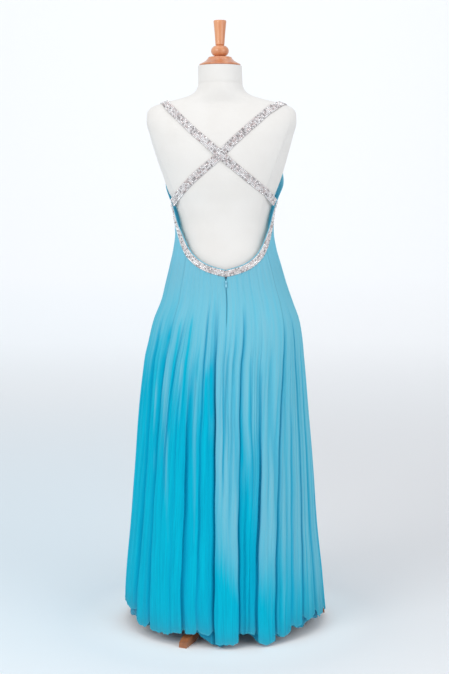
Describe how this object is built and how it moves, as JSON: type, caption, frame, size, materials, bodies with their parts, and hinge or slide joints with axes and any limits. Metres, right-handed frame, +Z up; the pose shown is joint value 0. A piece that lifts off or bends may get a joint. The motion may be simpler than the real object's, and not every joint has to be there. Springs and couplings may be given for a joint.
{
  "type": "evening dress on dress form",
  "caption": "Backless floor-length evening gown with crossed stone-trimmed straps and a flared chiffon skirt, standing on a limbless dress form with a turned wooden neck cap.",
  "frame": {"origin": "on the floor at the middle of the object's outline", "axes": "+Z up along the stand, the gown's front faces -Y and its open back faces +Y"},
  "size_m": [0.5289, 0.5201, 1.543],
  "materials": {
    "chiffon": "soft turquoise silk chiffon",
    "under_layer": "deeper turquoise lining",
    "stones": "rows of small clear stones in silver settings",
    "zip_tape": "woven tape",
    "metal": "satin",
    "form_cloth": "cream linen cover",
    "wood": "clear varnish",
    "dark_wood": "dark stain"
  },
  "bodies": {
    "gown": {"back_panel_left": "chiffon", "back_panel_right": "chiffon", "side_panel_left": "chiffon", "side_panel_right": "chiffon", "front_panel": "chiffon", "under_layer_back": "under_layer", "under_layer_front": "under_layer", "back_trim_left": "stones", "back_trim_right": "stones", "strap_over": "stones", "strap_under": "stones", "zip_tape": "zip_tape", "zip_slider": "metal", "hook": "metal", "dress_form": "form_cloth", "neck_cap": "wood", "cap_handle": "wood", "pole": "dark_wood", "leg_1": "dark_wood", "leg_2": "dark_wood", "leg_3": "dark_wood"},
    "pull": {"zip_pull": "metal"}
  },
  "joints": [
    {"name": "pull_swing", "type": "hinge", "parent": "gown", "child": "pull", "pos_m": [-0.00357, 0.11653, 0.89168], "axis": [1, 0, 0], "range_deg": [0, 150]}
  ]
}
